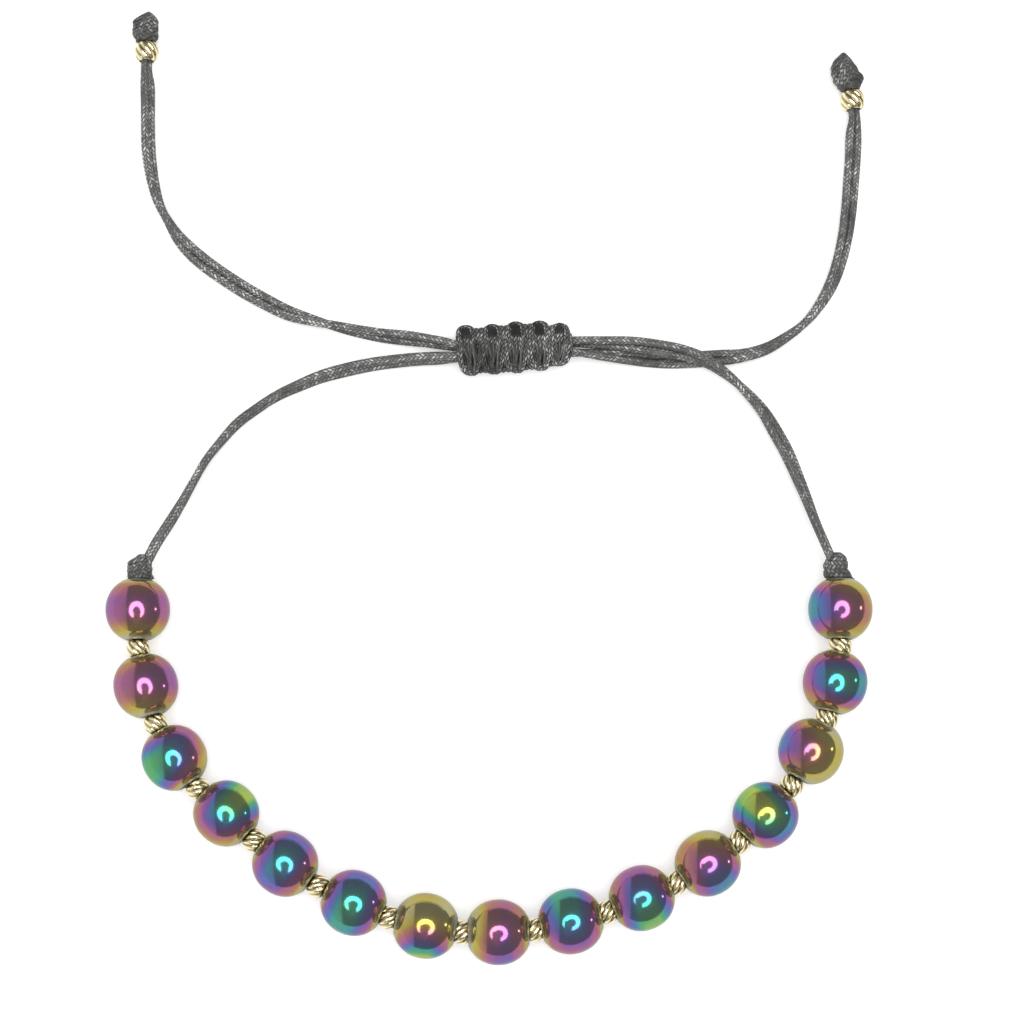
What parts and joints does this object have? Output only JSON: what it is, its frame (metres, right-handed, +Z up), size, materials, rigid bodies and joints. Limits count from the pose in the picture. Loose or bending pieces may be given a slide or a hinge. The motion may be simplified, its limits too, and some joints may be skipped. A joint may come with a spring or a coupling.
{
  "type": "cord bracelet",
  "caption": "Adjustable bracelet: coated round beads and small twisted gold beads on a doubled dark cord, closed by a knotted slider, with two beaded and knotted free ends.",
  "frame": {"origin": "middle of the laid-out bracelet's box, on the table it lies on", "axes": "+X to the right, +Y from the beads towards the free ends, +Z up from the table"},
  "size_m": [0.0716, 0.0908, 0.006],
  "materials": {
    "bead_coating": "polished, with a thin coating of changing colours",
    "gold": "polished pale gold plating",
    "cord": "fine braided nylon"
  },
  "bodies": {
    "root": {"bead_01": "bead_coating", "bead_02": "bead_coating", "bead_03": "bead_coating", "bead_04": "bead_coating", "bead_05": "bead_coating", "bead_06": "bead_coating", "bead_07": "bead_coating", "bead_08": "bead_coating", "bead_09": "bead_coating", "bead_10": "bead_coating", "bead_11": "bead_coating", "bead_12": "bead_coating", "bead_13": "bead_coating", "bead_14": "bead_coating", "bead_15": "bead_coating", "spacer_01": "gold", "spacer_02": "gold", "spacer_03": "gold", "spacer_04": "gold", "spacer_05": "gold", "spacer_06": "gold", "spacer_07": "gold", "spacer_08": "gold", "spacer_09": "gold", "spacer_10": "gold", "spacer_11": "gold", "spacer_12": "gold", "spacer_13": "gold", "spacer_14": "gold", "end_bead_left": "gold", "end_bead_right": "gold", "bead_thread_a": "cord", "bead_thread_b": "cord", "stop_knot_left": "cord", "stop_knot_right": "cord", "left_strand_a": "cord", "left_strand_b": "cord", "right_strand_a": "cord", "right_strand_b": "cord", "slider_knot": "cord", "end_knot_left": "cord", "end_knot_right": "cord"}
  },
  "joints": []
}
